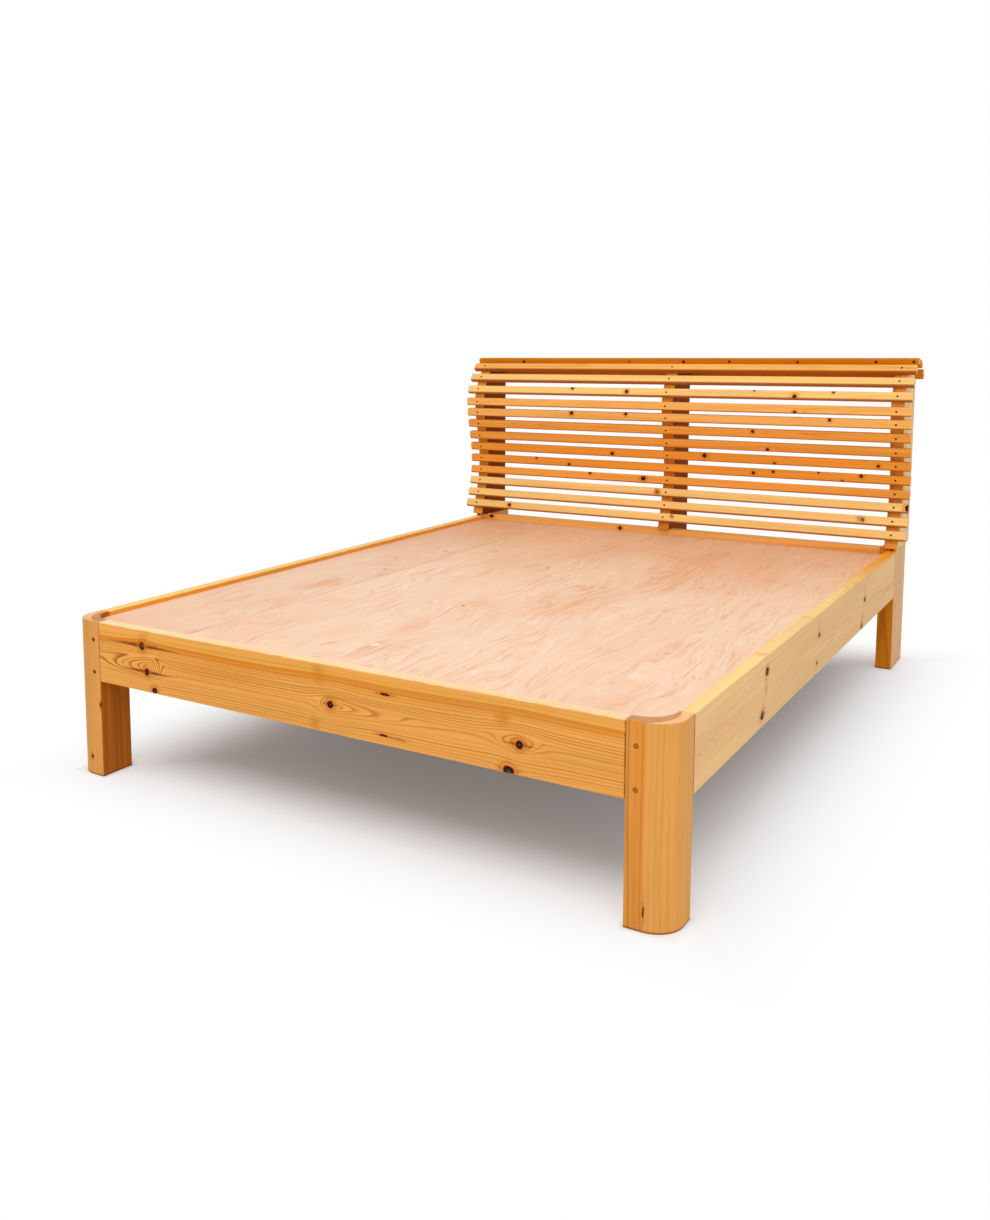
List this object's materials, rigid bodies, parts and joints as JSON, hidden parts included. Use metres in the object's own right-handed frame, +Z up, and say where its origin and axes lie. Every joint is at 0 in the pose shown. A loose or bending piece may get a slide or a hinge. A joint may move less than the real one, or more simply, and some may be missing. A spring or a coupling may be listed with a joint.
{
  "type": "platform bed",
  "caption": "Low pine platform bed with corner legs, board rails, a recessed plywood deck, and a slatted headboard that curves and rolls over at the top.",
  "frame": {"origin": "centre of the bed's box on the floor, midway across its width and along its length", "axes": "+Z up, +Y from the foot towards the head, +X towards the sleeper's left when lying on their back"},
  "size_m": [1.656, 2.2608, 1.034],
  "materials": {
    "leg_pine": "knotty pine, clear satin varnish, amber with age",
    "rail_pine": "knotty pine boards, clear satin varnish, paler sapwood along the edges",
    "slat_pine": "knotty pine strip, clear satin varnish, eased edges",
    "post_pine": "sawn pine plank, clear satin varnish",
    "deck_plywood": "rotary-cut birch plywood, pinkish, thinly sealed",
    "support_pine": "planed pine, unvarnished",
    "peg_pine": "turned dowel, end grain showing dark under the varnish",
    "bolt_steel": "zinc-plated steel"
  },
  "bodies": {
    "root": {"beam_cradle_foot": "support_pine", "beam_cradle_head": "support_pine", "centre_beam": "support_pine", "deck_bearer_01": "support_pine", "deck_bearer_02": "support_pine", "deck_bearer_03": "support_pine", "deck_bearer_04": "support_pine", "deck_bearer_05": "support_pine", "deck_bearer_06": "support_pine", "deck_bearer_07": "support_pine", "deck_sheet_narrow": "deck_plywood", "deck_sheet_wide": "deck_plywood", "foot_cleat": "support_pine", "foot_leg_left": "leg_pine", "foot_leg_right": "leg_pine", "foot_peg_left_lower": "peg_pine", "foot_peg_left_upper": "peg_pine", "foot_peg_right_lower": "peg_pine", "foot_peg_right_upper": "peg_pine", "foot_rail": "rail_pine", "head_cleat": "support_pine", "head_leg_left": "leg_pine", "head_leg_right": "leg_pine", "head_rail": "rail_pine", "headboard_post_centre": "post_pine", "headboard_post_left": "post_pine", "headboard_post_right": "post_pine", "headboard_slat_01": "slat_pine", "headboard_slat_02": "slat_pine", "headboard_slat_03": "slat_pine", "headboard_slat_04": "slat_pine", "headboard_slat_05": "slat_pine", "headboard_slat_06": "slat_pine", "headboard_slat_07": "slat_pine", "headboard_slat_08": "slat_pine", "headboard_slat_09": "slat_pine", "headboard_slat_10": "slat_pine", "headboard_slat_11": "slat_pine", "headboard_slat_12": "slat_pine", "headboard_slat_13": "slat_pine", "headboard_slat_14": "slat_pine", "headboard_slat_15": "slat_pine", "headboard_slat_16": "slat_pine", "post_bolt_centre_lower": "bolt_steel", "post_bolt_centre_upper": "bolt_steel", "post_bolt_left_front": "bolt_steel", "post_bolt_left_rear": "bolt_steel", "post_bolt_right_front": "bolt_steel", "post_bolt_right_rear": "bolt_steel", "side_ledger_left": "support_pine", "side_ledger_right": "support_pine", "side_rail_left": "rail_pine", "side_rail_right": "rail_pine"}
  },
  "joints": []
}
